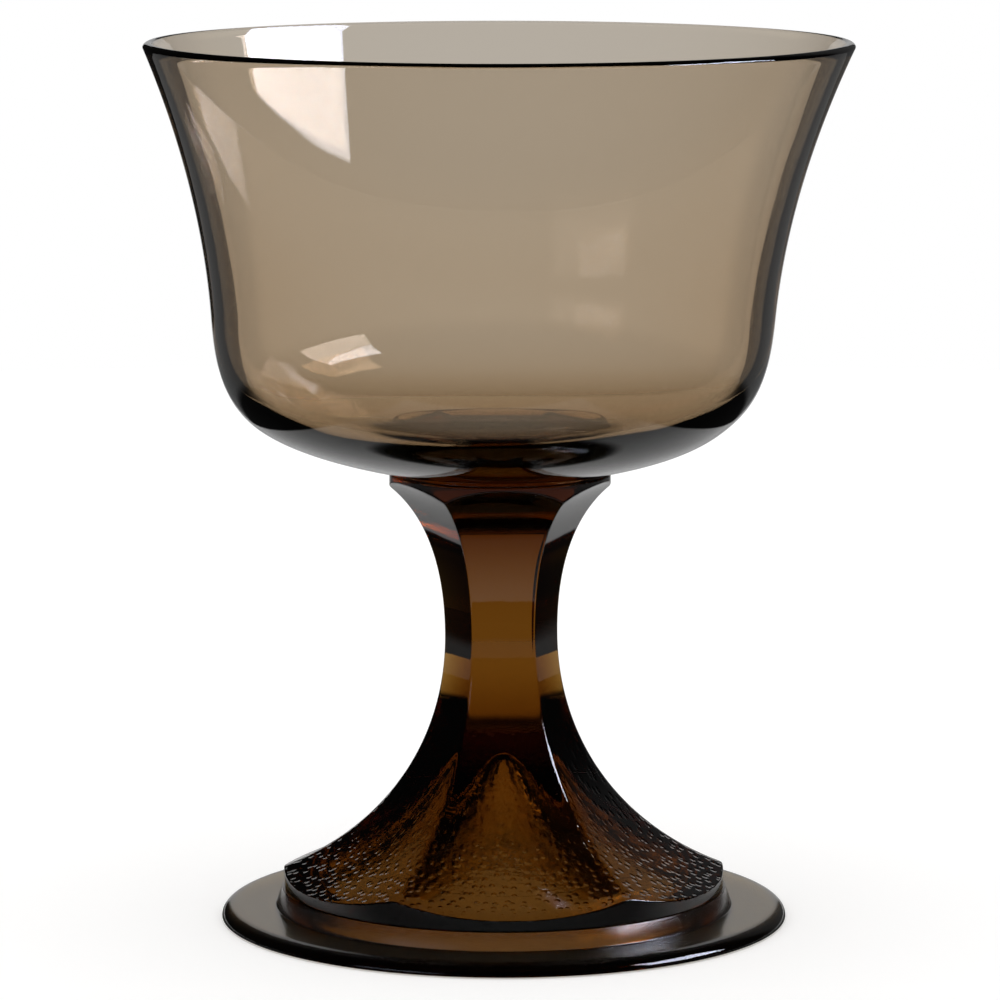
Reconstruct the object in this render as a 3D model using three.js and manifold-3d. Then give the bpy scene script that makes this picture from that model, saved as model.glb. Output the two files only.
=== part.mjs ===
// Sherbet glass: a bell-shaped blown bowl, joined by a thin wafer to a six-sided flared stem that
// stands on a stepped round foot. Millimetres, +Z up, origin under the middle of the foot.

import * as THREE from 'three';
import { mergeVertices } from 'three/addons/utils/BufferGeometryUtils.js';
import Module from 'manifold-3d';

// Foot: a round brim, rounded over its edge, with a raised step that carries the stem
const FOOT_THICKNESS = 1.75;
const FOOT_BRIM = 6.8;
const FOOT_EDGE_WIDTH = 2.1;
const FOOT_EDGE_WIDEST = 0.3;
const FOOT_HEEL = 1.4;
const STEP_HEIGHT = 2.35;
const STEP_LEDGE = 1.4;
const STEP_ROUND = 0.9;
const STEP_FILLET = 0.5;

// Hollow pressed up into the foot and the stem from below
const HOLLOW_MOUTH_RADIUS = 22.9;
const HOLLOW_DEPTH = 20.8;
const HOLLOW_FLARE = new THREE.Vector2(5.0, 5.6);
const HOLLOW_TIP_WIDTH = 1.7;

// Stem: six flat-sided panels that flare from a narrow waist out to a round skirt and a round cap
const STEM_SIDES = 6;
const STEM_HEIGHT = 54.65;
const SKIRT_RADIUS = 28.9;
const SKIRT_BAND = 1.75;
const SKIRT_FLARE = 11.05;
const SKIRT_FLARE_ANGLE = 83.4;
const WAIST_RADIUS = 7.36;
const WAIST_HEIGHT = 33.5;
const WAIST_RUN_DOWN = 19.4;
const WAIST_RUN_UP = 13.8;
const CAP_RADIUS = 14.45;
const CAP_BAND = 0.2;
const CAP_FLARE = 4.25;
const CAP_FLARE_ANGLE = 62.9;

// Merese: the wafer of glass between the stem's cap and the bowl
const MERESE_THICKNESS = 0.45;
const MERESE_INSET = 0.25;

// Bowl: flat seat, convex underside, tight shoulder and a wall that flares to the rim
const BOWL_HEIGHT = 55.8;
const BOWL_SEAT_INSET = 0.1;
const UNDERSIDE_RUN = 18.8;
const UNDERSIDE_ANGLE = 11.2;
const SHOULDER_RADIUS = 36.6;
const SHOULDER_HEIGHT = 19.95;
const SHOULDER_ANGLE = 4.65;
const SHOULDER_RUN = 11.65;
const WALL_RUN = 11.05;
const RIM_RADIUS = 45.9;
const RIM_ANGLE = 23.6;
const RIM_RUN = 13.5;
const RIM_WALL = 1.3;
const LIP_HEIGHT = 0.42;
const SIDE_WALL = 1.62;
const FLOOR_THICKNESS = 3.45;
const FLOOR_RUN = 31.5;
const INNER_SHOULDER_DROP = 0.3;
const INNER_SHOULDER_RUN = 10.4;

// Facets around a full turn, facets along one curve or arc, and how far a cutter runs past its cut
const ROUND_FACETS = 64;
const HOLLOW_FACETS = 48;
const CURVE_FACETS = 12;
const ARC_FACETS = 5;
const CUT_OVERRUN = 1.0;

// Stacking heights and the sizes that seats share
const stemBase = FOOT_THICKNESS + STEP_HEIGHT;
const stemTop = stemBase + STEM_HEIGHT;
const waistZ = stemBase + WAIST_HEIGHT;
const bowlBase = stemTop + MERESE_THICKNESS;
const rimTop = bowlBase + BOWL_HEIGHT;
const stepRadius = SKIRT_RADIUS + STEP_LEDGE;
const footRadius = stepRadius + FOOT_BRIM;
const mereseRadius = CAP_RADIUS - MERESE_INSET;
const bowlSeatRadius = mereseRadius - BOWL_SEAT_INSET;

const wasm = await Module();
wasm.setup();

// A direction in the profile plane, turned from straight up towards the outside.
function leaning(degrees, length) {
  const angle = THREE.MathUtils.degToRad(degrees);
  return new THREE.Vector2(Math.sin(angle), Math.cos(angle)).multiplyScalar(length);
}

// Appends one cubic curve from the path's end to a point, with its two handles as points.
function curveTo(path, handleOut, handleIn, end) {
  path.bezierCurveTo(handleOut.x, handleOut.y, handleIn.x, handleIn.y, end.x, end.y);
}

// Corner points of a profile: straight stretches whole, curves and arcs in even facets.
function cornersOf(path) {
  const corners = [path.getPoint(0)];
  for (const curve of path.curves) {
    let facets = CURVE_FACETS;
    if (curve.isLineCurve) facets = 1;
    if (curve.isEllipseCurve) facets = ARC_FACETS;
    corners.push(...curve.getPoints(facets).slice(1));
  }
  return corners;
}

// Turns a profile about the Z axis; the first facet edge lies at phiStart from the front (-Y).
function revolve(path, facets, phiStart = 0) {
  const geometry = new THREE.LatheGeometry(cornersOf(path), facets, phiStart);
  return geometry.rotateX(Math.PI / 2);
}

// A closed solid ready to be joined or cut, from a geometry whose seam and poles are welded.
function solid(geometry) {
  geometry.deleteAttribute('normal');
  geometry.deleteAttribute('uv');
  const welded = mergeVertices(geometry);
  const index = welded.index.array;
  const triangles = [];
  for (let i = 0; i < index.length; i += 3) {
    const [a, b, c] = [index[i], index[i + 1], index[i + 2]];
    if (a !== b && b !== c && c !== a) triangles.push(a, b, c);
  }
  return new wasm.Manifold(new wasm.Mesh({
    numProp: 3,
    vertProperties: new Float32Array(welded.attributes.position.array),
    triVerts: new Uint32Array(triangles),
  }));
}

function geometryOf(body) {
  const mesh = body.getMesh();
  const geometry = new THREE.BufferGeometry();
  geometry.setAttribute('position', new THREE.BufferAttribute(mesh.vertProperties, 3));
  geometry.setIndex(new THREE.BufferAttribute(mesh.triVerts, 1));
  geometry.computeVertexNormals();
  return geometry;
}

// Foot profile: flat base, bevelled heel, rounded edge, flat brim, filleted step with a round top.
function footProfile() {
  const path = new THREE.Path();
  path.moveTo(0, 0);
  path.lineTo(footRadius - FOOT_HEEL, 0);
  path.absellipse(footRadius - FOOT_HEEL, FOOT_EDGE_WIDEST, FOOT_HEEL, FOOT_EDGE_WIDEST, -Math.PI / 2, 0);
  const edgeRise = FOOT_THICKNESS - FOOT_EDGE_WIDEST;
  path.absellipse(footRadius - FOOT_EDGE_WIDTH, FOOT_EDGE_WIDEST, FOOT_EDGE_WIDTH, edgeRise, 0, Math.PI / 2);
  const filletX = stepRadius + STEP_FILLET;
  path.lineTo(filletX, FOOT_THICKNESS);
  path.absarc(filletX, FOOT_THICKNESS + STEP_FILLET, STEP_FILLET, -Math.PI / 2, -Math.PI, true);
  path.lineTo(stepRadius, stemBase - STEP_ROUND);
  path.absarc(stepRadius - STEP_ROUND, stemBase - STEP_ROUND, STEP_ROUND, 0, Math.PI / 2);
  path.lineTo(0, stemBase);
  return path;
}

// Hollow profile: a cone that opens through the base of the foot, with a rounded tip in the stem.
function hollowProfile() {
  const path = new THREE.Path();
  path.moveTo(0, -CUT_OVERRUN);
  path.lineTo(HOLLOW_MOUTH_RADIUS, -CUT_OVERRUN);
  path.lineTo(HOLLOW_MOUTH_RADIUS, 0);
  const flare = new THREE.Vector2(HOLLOW_MOUTH_RADIUS - HOLLOW_FLARE.x, HOLLOW_FLARE.y);
  const tip = new THREE.Vector2(HOLLOW_TIP_WIDTH, HOLLOW_DEPTH);
  curveTo(path, flare, tip, new THREE.Vector2(0, HOLLOW_DEPTH));
  return path;
}

// Ridge line of the stem. Its ends reach so far out that the flats between the ridges touch the
// round skirt and the round cap, whose walls then cut every panel's end to an arch.
function ridgeProfile() {
  const flatToRidge = 1 / Math.cos(Math.PI / STEM_SIDES);
  const skirtEnd = new THREE.Vector2(SKIRT_RADIUS * flatToRidge, stemBase + SKIRT_BAND);
  const capEnd = new THREE.Vector2(CAP_RADIUS * flatToRidge, stemTop - CAP_BAND);
  const waist = new THREE.Vector2(WAIST_RADIUS, waistZ);
  const skirtHandle = leaning(-SKIRT_FLARE_ANGLE, SKIRT_FLARE).add(skirtEnd);
  const waistDown = leaning(180, WAIST_RUN_DOWN).add(waist);
  const waistUp = leaning(0, WAIST_RUN_UP).add(waist);
  const capHandle = leaning(180 + CAP_FLARE_ANGLE, CAP_FLARE).add(capEnd);

  const path = new THREE.Path();
  path.moveTo(0, stemBase - CUT_OVERRUN);
  path.lineTo(skirtEnd.x + CUT_OVERRUN, stemBase - CUT_OVERRUN);
  path.lineTo(skirtEnd.x + CUT_OVERRUN, skirtEnd.y);
  path.lineTo(skirtEnd.x, skirtEnd.y);
  curveTo(path, skirtHandle, waistDown, waist);
  curveTo(path, waistUp, capHandle, capEnd);
  path.lineTo(capEnd.x + CUT_OVERRUN, capEnd.y);
  path.lineTo(capEnd.x + CUT_OVERRUN, stemTop + CUT_OVERRUN);
  path.lineTo(0, stemTop + CUT_OVERRUN);
  return path;
}

// The round walls of the skirt and the cap, which meet out of sight at the height of the waist.
function roundLimitProfile() {
  const path = new THREE.Path();
  path.moveTo(0, stemBase);
  path.lineTo(SKIRT_RADIUS, stemBase);
  path.lineTo(SKIRT_RADIUS, waistZ);
  path.lineTo(CAP_RADIUS, waistZ);
  path.lineTo(CAP_RADIUS, stemTop);
  path.lineTo(0, stemTop);
  return path;
}

function mereseProfile() {
  const path = new THREE.Path();
  path.moveTo(0, stemTop);
  path.lineTo(mereseRadius, stemTop);
  path.lineTo(mereseRadius, bowlBase);
  path.lineTo(0, bowlBase);
  return path;
}

// Bowl profile: outside up to the rim, over the melted lip and down the inside to the floor. The
// inner curve starts from the outer one, set in by the wall at the rim and at the shoulder. The
// lip is half an ellipse that leans with the wall and reaches the rim's radius and height.
function bowlProfile() {
  const acrossRim = leaning(RIM_ANGLE - 90, RIM_WALL / 2);
  const overRim = leaning(RIM_ANGLE, LIP_HEIGHT);
  const lipReach = new THREE.Vector2(Math.hypot(acrossRim.x, overRim.x), Math.hypot(acrossRim.y, overRim.y));
  const rimCentre = new THREE.Vector2(RIM_RADIUS, rimTop).sub(lipReach);
  const lipTilt = -THREE.MathUtils.degToRad(RIM_ANGLE);
  const rimOutside = rimCentre.clone().sub(acrossRim);
  const rimInside = rimCentre.clone().add(acrossRim);
  const downRim = leaning(180 + RIM_ANGLE, RIM_RUN);

  const seat = new THREE.Vector2(bowlSeatRadius, bowlBase);
  const seatHandle = leaning(90 - UNDERSIDE_ANGLE, UNDERSIDE_RUN).add(seat);
  const shoulder = new THREE.Vector2(SHOULDER_RADIUS, bowlBase + SHOULDER_HEIGHT);
  const shoulderDown = leaning(180 + SHOULDER_ANGLE, SHOULDER_RUN).add(shoulder);
  const wallUp = leaning(SHOULDER_ANGLE, WALL_RUN);

  const innerShoulder = leaning(SHOULDER_ANGLE - 90, SIDE_WALL).add(shoulder);
  innerShoulder.y -= INNER_SHOULDER_DROP;
  const innerDown = leaning(180 + SHOULDER_ANGLE, INNER_SHOULDER_RUN).add(innerShoulder);
  const floor = new THREE.Vector2(0, bowlBase + FLOOR_THICKNESS);
  const floorHandle = new THREE.Vector2(FLOOR_RUN, floor.y);

  const path = new THREE.Path();
  path.moveTo(0, bowlBase);
  path.lineTo(seat.x, seat.y);
  curveTo(path, seatHandle, shoulderDown, shoulder);
  curveTo(path, wallUp.clone().add(shoulder), downRim.clone().add(rimOutside), rimOutside);
  path.absellipse(rimCentre.x, rimCentre.y, RIM_WALL / 2, LIP_HEIGHT, 0, Math.PI, false, lipTilt);
  curveTo(path, downRim.clone().add(rimInside), wallUp.clone().add(innerShoulder), innerShoulder);
  curveTo(path, innerDown, floorHandle, floor);
  return path;
}

function glass(name, body, color) {
  const material = new THREE.MeshStandardMaterial({ color, roughness: 0.05, metalness: 0 });
  const mesh = new THREE.Mesh(geometryOf(body), material);
  mesh.name = name;
  return mesh;
}

const hollow = solid(revolve(hollowProfile(), HOLLOW_FACETS));
const foot = solid(revolve(footProfile(), ROUND_FACETS)).subtract(hollow);

// A flat panel faces the front, so the ridges stand half a panel to either side of it.
const panels = solid(revolve(ridgeProfile(), STEM_SIDES, Math.PI / STEM_SIDES));
const roundLimit = solid(revolve(roundLimitProfile(), ROUND_FACETS));
const stem = panels.intersect(roundLimit).subtract(hollow);

const merese = solid(revolve(mereseProfile(), ROUND_FACETS));
const bowl = solid(revolve(bowlProfile(), ROUND_FACETS));

const sherbetGlass = new THREE.Group();
sherbetGlass.add(glass('foot', foot, 0x4a3418));
sherbetGlass.add(glass('stem', stem, 0x5a3c16));
sherbetGlass.add(glass('merese', merese, 0x3c2410));
sherbetGlass.add(glass('bowl', bowl, 0xa09078));

export default sherbetGlass;
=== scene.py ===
"""Sherbet glass: a smoke-tinted bell bowl on a panelled stem and a stepped foot.

Every piece is a surface worked out with numpy on a grid: a profile in the (r, z) plane carried
round the Z axis, where the stem's radius also follows the six flat panels. Metres, +Z up.
"""

import math

import bpy
import numpy as np
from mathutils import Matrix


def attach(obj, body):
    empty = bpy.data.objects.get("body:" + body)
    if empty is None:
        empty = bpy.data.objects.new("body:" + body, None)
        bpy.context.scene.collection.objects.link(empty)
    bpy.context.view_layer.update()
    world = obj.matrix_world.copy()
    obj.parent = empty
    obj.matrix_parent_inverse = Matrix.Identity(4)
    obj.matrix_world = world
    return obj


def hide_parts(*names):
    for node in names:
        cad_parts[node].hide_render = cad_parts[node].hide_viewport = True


bl_info = {
    "name": "Sherbet Glass",
    "version": (1, 0, 0),
    "blender": (4, 5, 0),
    "location": "3D View > Sidebar > Sherbet Glass",
    "description": "Builds a smoke-tinted sherbet glass on a panelled stem",
    "category": "Add Mesh",
}

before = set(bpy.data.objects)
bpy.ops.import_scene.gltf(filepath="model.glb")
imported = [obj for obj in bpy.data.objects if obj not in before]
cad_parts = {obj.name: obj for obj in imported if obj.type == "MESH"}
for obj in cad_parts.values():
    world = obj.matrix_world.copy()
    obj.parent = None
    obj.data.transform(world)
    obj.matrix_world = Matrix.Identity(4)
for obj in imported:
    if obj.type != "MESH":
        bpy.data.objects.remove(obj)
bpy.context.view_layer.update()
MM = 0.001

# How far fused pieces reach into each other, and where their shared faces end at the wafer.
SEAT_OVERLAP = 0.01 * MM
WAFER_OVERLAP = 0.04 * MM
WAFER_INSET = 0.3 * MM
CONTACT_TOLERANCE = 0.001 * MM

# Points along the hollow, the stride at which the stem takes them, columns round each piece, the
# least angle of a sharp edge, and the power that rounds a ridge over its own width.
HOLLOW_POINTS = 400
HOLLOW_STRIDE = 6
PANEL_COLUMNS = 48
FOOT_COLUMNS = 256
WAFER_COLUMNS = 192
BOWL_COLUMNS = 320
FLOOR_COLUMNS = 128
SHARP_ANGLE = math.radians(40.0)
RIDGE_SHARPNESS = 2.2

# Grains of the surface noise per metre, the levels of it between which dull specks and the step's
# wear set in, and the waves of blown glass and the grain of the foot as bumps.
WAVE_GRAIN = 60.0
SKIN_GRAIN = 300.0
FINE_GRAIN = 900.0
SPECKS = (0.6, 0.8)
STEP_PATCHES = (0.3, 0.7)
WAVE_DEPTH = 0.2 * MM
WAVE_STRENGTH = 0.15
GRAIN_DEPTH = 0.02 * MM
GRAIN_STRENGTH = 0.3

# How a pit falls away from its middle, in cells, and the pressed skin in shares of a pit's depth.
PIT_EDGE = (0.36, 0.1)
OUTER_SKIN = 0.05
INNER_SKIN = 0.25
INNER_MOTTLE = 1.1

# Where the foot's wear sets in: out from the step's top edge, down from the brim's top, and how soft
# its borders are.
WEAR_START = 1.15 * MM
WEAR_RUN = 0.5 * MM
WEAR_DEPTH = 0.55 * MM
WEAR_SOFT = 0.15 * MM
MOUTH_INSET = 0.1 * MM

# The room as the glass sees it, in degrees of turn from +Y and of rise: the left, right, bottom and
# top edges, each a pair from dark to lit. The lit wall goes on below, so its bottom edge is out of reach.
MAIN_WINDOW = ((74.5, 75.5), (117.5, 116.5), (20.0, 21.0), (44.0, 42.0))
FAINT_WINDOW = ((-158.0, -150.0), (-116.0, -122.0), (3.0, 7.0), (19.0, 14.0))
LIT_WALL = ((6.0, 12.0), (50.0, 36.0), (-92.0, -91.0), (40.0, 25.0))
PALE_SIDES = (46.0, 62.0)
PALE_TOP = (24.0, 12.0)
PALE_LEVEL = 0.8
WALL_LEVEL = 0.06
ROOM_LEVEL = 0.008
SPREAD_LIGHT = (0.2, 0.8)
DEGREES = 180.0 / math.pi

# The floor as the glass sees it: levels of light, and the runs along Y or outwards over which they
# change.
FLOOR_GAP = 0.01 * MM
SOFT_EDGE = 2.0 * MM
STEEP_VIEW = (0.6, 0.4)
UNLIT = 0.01
# Painted shadow of the foot on the floor: its darkest level under the brim, and the run past the foot's edge
# over which it brightens.
SHADE = 0.08
SHADE_RUN = (0.9 * MM, 8.9 * MM)
# Painted light in the hollow: the floor there is brighter than the sheet, and glows a little more for rays
# through the glass.
HOLLOW_PAINTED_LIGHT = 1.15
HOLLOW_SOFT = 0.4 * MM
HOLLOW_PAINTED_GLOW = 0.06
EYE_LIFT = 0.2
FADE = 0.1
FADE_RUN = (90.0 * MM, 180.0 * MM)
BACK_RUN = (-35.0 * MM, -10.0 * MM)
# Painted shade in front of the foot where the glass mirrors the floor: its level close to the foot, and how
# much brighter it gets over the front run.
NEAR_PAINTED_SHADE = 0.2
FRONT_LEVEL = 0.65
FRONT_RUN = (-30.0 * MM, -120.0 * MM)
FAR_LEVEL = 0.14
FAR_RUN = (200.0 * MM, 250.0 * MM)


class FootSizes(bpy.types.PropertyGroup):
    """Sizes of the stepped round foot and of the hollow pressed up into it."""

    radius: bpy.props.FloatProperty(
        name="Radius", description="Widest radius of the foot", default=37.1 * MM, unit="LENGTH"
    )
    thickness: bpy.props.FloatProperty(
        name="Brim Thickness", description="Thickness of the flat brim", default=1.75 * MM, unit="LENGTH"
    )
    edge_width: bpy.props.FloatProperty(
        name="Edge Width", description="How far the edge's rounding reaches in",
        default=2.1 * MM, unit="LENGTH",
    )
    edge_widest: bpy.props.FloatProperty(
        name="Edge Height", description="Height at which the foot is widest", default=0.3 * MM, unit="LENGTH"
    )
    heel: bpy.props.FloatProperty(
        name="Heel", description="How far the base stops short of the edge", default=1.4 * MM, unit="LENGTH"
    )
    step_radius: bpy.props.FloatProperty(
        name="Step Radius", description="Radius of the raised step at its top",
        default=29.15 * MM, unit="LENGTH",
    )
    step_height: bpy.props.FloatProperty(
        name="Step Height", description="Height of the step over the brim", default=2.35 * MM, unit="LENGTH"
    )
    step_round: bpy.props.FloatProperty(
        name="Step Rounding", description="Rounding of the step's top edge", default=0.15 * MM, unit="LENGTH"
    )
    step_fillet: bpy.props.FloatProperty(
        name="Step Fillet", description="Rounding where the step meets the brim",
        default=0.3 * MM, unit="LENGTH",
    )
    step_lean: bpy.props.FloatProperty(
        name="Step Lean", description="Lean of the step's face", default=math.radians(18.5), subtype="ANGLE"
    )
    step_bulge: bpy.props.FloatProperty(
        name="Step Bulge", description="Change of that lean at either edge",
        default=math.radians(3.5), subtype="ANGLE",
    )
    step_run: bpy.props.FloatProperty(
        name="Step Run", description="Handle length of the step's face", default=0.705 * MM, unit="LENGTH"
    )
    hollow_mouth: bpy.props.FloatProperty(
        name="Hollow Mouth", description="Radius of the hollow at the base", default=23.3 * MM, unit="LENGTH"
    )
    hollow_depth: bpy.props.FloatProperty(
        name="Hollow Depth", description="Height of the hollow's tip", default=20.8 * MM, unit="LENGTH"
    )
    hollow_lip_radius: bpy.props.FloatProperty(
        name="Hollow Lip Radius", description="Radius at the top of the steep lip",
        default=20.8 * MM, unit="LENGTH",
    )
    hollow_lip_height: bpy.props.FloatProperty(
        name="Hollow Lip Height", description="Height of the steep lip", default=3.0 * MM, unit="LENGTH"
    )
    hollow_lip_run: bpy.props.FloatProperty(
        name="Hollow Lip Run", description="Handle length at both ends of the lip",
        default=0.9 * MM, unit="LENGTH",
    )
    hollow_lip_lean: bpy.props.FloatProperty(
        name="Hollow Lip Lean", description="Lean of the lip at the mouth", default=0.3, subtype="ANGLE"
    )
    hollow_slope: bpy.props.FloatProperty(
        name="Hollow Slope", description="Rise of the bell over the lip",
        default=math.radians(24.0), subtype="ANGLE",
    )
    hollow_run: bpy.props.FloatProperty(
        name="Hollow Run", description="Handle length over the lip", default=17.0 * MM, unit="LENGTH"
    )
    hollow_tip: bpy.props.FloatProperty(
        name="Hollow Tip", description="Handle that rounds the hollow's tip", default=3.6 * MM, unit="LENGTH"
    )


class StemSizes(bpy.types.PropertyGroup):
    """Sizes of the panelled stem."""

    sides: bpy.props.IntProperty(
        name="Sides", description="Flat panels round the stem", default=6, min=3
    )
    base: bpy.props.FloatProperty(
        name="Base", description="Height of the stem's seat on the foot", default=4.1 * MM, unit="LENGTH"
    )
    top: bpy.props.FloatProperty(
        name="Top", description="Height of the cap's flat top", default=58.75 * MM, unit="LENGTH"
    )
    skirt_radius: bpy.props.FloatProperty(
        name="Skirt Radius", description="Radius of the round skirt wall", default=28.9 * MM, unit="LENGTH"
    )
    skirt_band: bpy.props.FloatProperty(
        name="Skirt Band", description="Height of the wall below a panel", default=1.1 * MM, unit="LENGTH"
    )
    skirt_chamfer: bpy.props.FloatProperty(
        name="Skirt Chamfer", description="Chamfer at the foot of the wall", default=0.15 * MM, unit="LENGTH"
    )
    skirt_flare: bpy.props.FloatProperty(
        name="Skirt Flare", description="Handle length at the skirt", default=17.5 * MM, unit="LENGTH"
    )
    skirt_angle: bpy.props.FloatProperty(
        name="Skirt Angle", description="Lean of the skirt's handle",
        default=math.radians(75.0), subtype="ANGLE",
    )
    waist_radius: bpy.props.FloatProperty(
        name="Waist Radius", description="Radius over the ridges at the waist",
        default=7.36 * MM, unit="LENGTH",
    )
    waist_height: bpy.props.FloatProperty(
        name="Waist Height", description="Height of the waist", default=37.6 * MM, unit="LENGTH"
    )
    waist_down: bpy.props.FloatProperty(
        name="Waist Run Down", description="Handle length below the waist", default=15.0 * MM, unit="LENGTH"
    )
    waist_up: bpy.props.FloatProperty(
        name="Waist Run Up", description="Handle length above the waist", default=13.8 * MM, unit="LENGTH"
    )
    cap_radius: bpy.props.FloatProperty(
        name="Cap Radius", description="Radius of the round cap", default=14.45 * MM, unit="LENGTH"
    )
    cap_band: bpy.props.FloatProperty(
        name="Cap Band", description="Height of the cap's wall over a panel", default=0.2 * MM, unit="LENGTH"
    )
    cap_chamfer: bpy.props.FloatProperty(
        name="Cap Chamfer", description="Chamfer at the cap's top edge", default=0.08 * MM, unit="LENGTH"
    )
    cap_flare: bpy.props.FloatProperty(
        name="Cap Flare", description="Handle length at the cap", default=4.25 * MM, unit="LENGTH"
    )
    cap_angle: bpy.props.FloatProperty(
        name="Cap Angle", description="Lean of the cap's handle", default=math.radians(62.9), subtype="ANGLE"
    )
    edge_round: bpy.props.FloatProperty(
        name="Edge Rounding", description="Melted rounding where walls cut panels",
        default=0.3 * MM, unit="LENGTH",
    )
    ridge_crisp: bpy.props.FloatProperty(
        name="Crisp Ridge", description="Width of the ridges' rounding at the waist",
        default=0.19 * MM, unit="LENGTH",
    )
    ridge_soft: bpy.props.FloatProperty(
        name="Soft Ridge", description="Width of the ridges' rounding on the skirt",
        default=2.1 * MM, unit="LENGTH",
    )
    ridge_soft_height: bpy.props.FloatProperty(
        name="Soft Ridge Height", description="Height below which the ridges are softest",
        default=16.0 * MM, unit="LENGTH",
    )
    side_turn: bpy.props.FloatProperty(
        name="Side Turn", description="How much the side panels face aside",
        default=math.radians(3.5), subtype="ANGLE",
    )
    turn: bpy.props.FloatProperty(
        name="Turn", description="How far the front panel faces to +X",
        default=math.radians(2.4), subtype="ANGLE",
    )
    drift: bpy.props.FloatProperty(
        name="Drift", description="How far the skirt is set to +X", default=0.5 * MM, unit="LENGTH"
    )


class BowlSizes(bpy.types.PropertyGroup):
    """Sizes of the blown bowl and of the wafer below it."""

    base: bpy.props.FloatProperty(
        name="Base", description="Height of the bowl's seat", default=59.2 * MM, unit="LENGTH"
    )
    top: bpy.props.FloatProperty(
        name="Top", description="Height of the rim", default=115.0 * MM, unit="LENGTH"
    )
    seat_radius: bpy.props.FloatProperty(
        name="Seat Radius", description="Radius of the flat seat", default=14.1 * MM, unit="LENGTH"
    )
    underside_run: bpy.props.FloatProperty(
        name="Underside Run", description="Handle length at the seat", default=18.8 * MM, unit="LENGTH"
    )
    underside_angle: bpy.props.FloatProperty(
        name="Underside Angle", description="Rise of the underside",
        default=math.radians(11.2), subtype="ANGLE",
    )
    shoulder_radius: bpy.props.FloatProperty(
        name="Shoulder Radius", description="Outer radius at the shoulder", default=36.6 * MM, unit="LENGTH"
    )
    shoulder_height: bpy.props.FloatProperty(
        name="Shoulder Height", description="Height over the seat", default=19.95 * MM, unit="LENGTH"
    )
    shoulder_angle: bpy.props.FloatProperty(
        name="Shoulder Angle", description="Lean of the wall there",
        default=math.radians(4.65), subtype="ANGLE",
    )
    shoulder_run: bpy.props.FloatProperty(
        name="Shoulder Run", description="Handle length below", default=11.65 * MM, unit="LENGTH"
    )
    wall_run: bpy.props.FloatProperty(
        name="Wall Run", description="Handle length above the shoulder", default=11.05 * MM, unit="LENGTH"
    )
    rim_radius: bpy.props.FloatProperty(
        name="Rim Radius", description="Outer radius of the lip", default=45.9 * MM, unit="LENGTH"
    )
    rim_angle: bpy.props.FloatProperty(
        name="Rim Angle", description="Lean of the wall at the rim",
        default=math.radians(23.6), subtype="ANGLE",
    )
    rim_run: bpy.props.FloatProperty(
        name="Rim Run", description="Handle length at the rim", default=13.5 * MM, unit="LENGTH"
    )
    rim_wall: bpy.props.FloatProperty(
        name="Rim Wall", description="Wall thickness at the rim", default=1.3 * MM, unit="LENGTH"
    )
    lip_height: bpy.props.FloatProperty(
        name="Lip Height", description="Height of the lip's rounding", default=0.42 * MM, unit="LENGTH"
    )
    side_wall: bpy.props.FloatProperty(
        name="Side Wall", description="Wall thickness at the shoulder", default=1.62 * MM, unit="LENGTH"
    )
    floor_thickness: bpy.props.FloatProperty(
        name="Floor", description="Thickness of the bowl's floor", default=3.45 * MM, unit="LENGTH"
    )
    floor_run: bpy.props.FloatProperty(
        name="Floor Run", description="Handle length of the inner floor", default=31.5 * MM, unit="LENGTH"
    )
    inner_run: bpy.props.FloatProperty(
        name="Inner Shoulder Run", description="Inner handle at the shoulder",
        default=10.4 * MM, unit="LENGTH",
    )
    inner_drop: bpy.props.FloatProperty(
        name="Inner Shoulder Drop", description="How much lower the inner shoulder is",
        default=0.3 * MM, unit="LENGTH",
    )
    wafer_radius: bpy.props.FloatProperty(
        name="Wafer Radius", description="Radius of the joining wafer", default=14.2 * MM, unit="LENGTH"
    )
    rim_drift: bpy.props.FloatProperty(
        name="Rim Drift", description="How far the rim is set to -X", default=0.1 * MM, unit="LENGTH"
    )
    base_drift: bpy.props.FloatProperty(
        name="Base Drift", description="How much further the base is set to -X",
        default=0.9 * MM, unit="LENGTH",
    )
    drift_depth: bpy.props.FloatProperty(
        name="Drift Depth", description="Depth below the rim at which it is set furthest",
        default=48.0 * MM, unit="LENGTH",
    )
    drift_start: bpy.props.FloatProperty(
        name="Drift Start", description="Height over the seat in which the drift begins",
        default=6.8 * MM, unit="LENGTH",
    )


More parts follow.
